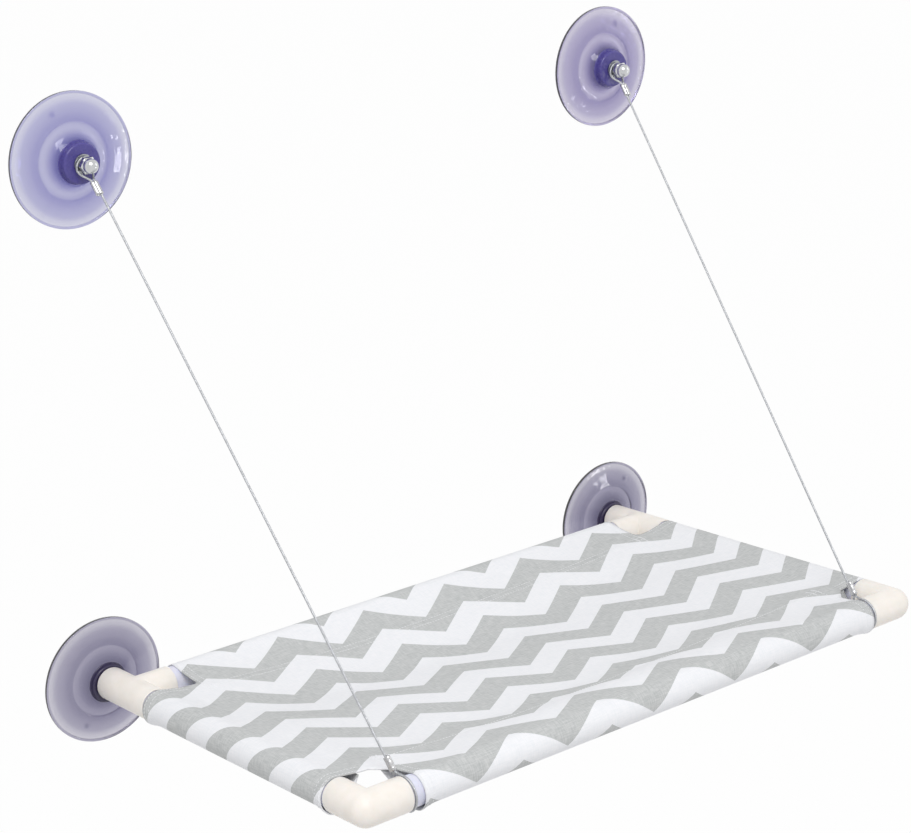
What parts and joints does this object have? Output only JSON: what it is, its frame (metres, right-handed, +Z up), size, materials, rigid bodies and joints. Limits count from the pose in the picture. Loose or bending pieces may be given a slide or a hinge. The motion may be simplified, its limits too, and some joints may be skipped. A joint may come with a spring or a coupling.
{
  "type": "cat window bed",
  "caption": "Fabric hammock on a rectangular pipe frame, held on a window by suction cups at its back and hung from suction cups above by steel cables.",
  "frame": {"origin": "point on the window glass midway between the two lower suction cups", "axes": "+X to the right along the glass as seen from the room, +Y out of the room into the glass, +Z up"},
  "size_m": [0.682, 0.384, 0.555],
  "materials": {
    "ivory_pvc": "smooth moulded plastic with a soft shine",
    "white_pipe": "smooth drawn plastic pipe, slightly blue",
    "cover_fabric": "plain woven canvas with grey and white zigzag rows",
    "cup_vinyl": "clear lavender soft vinyl, glossy",
    "zinc_steel": "zinc plated steel",
    "nut_chrome": "polished chrome",
    "cable_steel": "stranded steel in a thin clear coat",
    "ferrule_metal": "pressed bright metal"
  },
  "bodies": {
    "frame": {"front_rail_tube": "white_pipe", "back_rail_tube": "white_pipe", "left_side_tube": "white_pipe", "right_side_tube": "white_pipe", "front_left_elbow": "ivory_pvc", "front_right_elbow": "ivory_pvc", "back_left_tee": "ivory_pvc", "back_right_tee": "ivory_pvc", "left_tee_plug": "ivory_pvc", "right_tee_plug": "ivory_pvc", "hammock_cover": "cover_fabric"},
    "left_cable": {"left_cable": "cable_steel", "left_upper_ferrule": "ferrule_metal", "left_lower_ferrule": "ferrule_metal"},
    "right_cable": {"right_cable": "cable_steel", "right_upper_ferrule": "ferrule_metal", "right_lower_ferrule": "ferrule_metal"},
    "upper_left_cup": {"upper_left_cup": "cup_vinyl", "upper_left_stud": "zinc_steel", "upper_left_washer": "zinc_steel", "upper_left_cap_nut": "nut_chrome"},
    "upper_right_cup": {"upper_right_cup": "cup_vinyl", "upper_right_stud": "zinc_steel", "upper_right_washer": "zinc_steel", "upper_right_cap_nut": "nut_chrome"},
    "lower_left_cup": {"lower_left_cup": "cup_vinyl", "lower_left_stud": "zinc_steel", "lower_left_washer": "zinc_steel", "lower_left_nut": "zinc_steel"},
    "lower_right_cup": {"lower_right_cup": "cup_vinyl", "lower_right_stud": "zinc_steel", "lower_right_washer": "zinc_steel", "lower_right_nut": "zinc_steel"}
  },
  "joints": [
    {"name": "left_cable_swing", "type": "hinge", "parent": "frame", "child": "left_cable", "pos_m": [-0.2494, -0.36925, 0.02349], "axis": [1, 0, 0], "range_deg": [0, 215]},
    {"name": "right_cable_swing", "type": "hinge", "parent": "frame", "child": "right_cable", "pos_m": [0.2494, -0.36925, 0.02349], "axis": [1, 0, 0], "range_deg": [0, 215]},
    {"name": "upper_left_cup_spin", "type": "hinge", "parent": "left_cable", "child": "upper_left_cup", "pos_m": [-0.281, -0.0221, 0.445], "axis": [0, 1, 0], "continuous": true},
    {"name": "upper_right_cup_spin", "type": "hinge", "parent": "right_cable", "child": "upper_right_cup", "pos_m": [0.281, -0.0221, 0.445], "axis": [0, 1, 0], "continuous": true},
    {"name": "lower_left_cup_spin", "type": "hinge", "parent": "frame", "child": "lower_left_cup", "pos_m": [-0.286, -0.0134, 0], "axis": [0, 1, 0], "continuous": true},
    {"name": "lower_right_cup_spin", "type": "hinge", "parent": "frame", "child": "lower_right_cup", "pos_m": [0.286, -0.0134, 0], "axis": [0, 1, 0], "continuous": true}
  ]
}
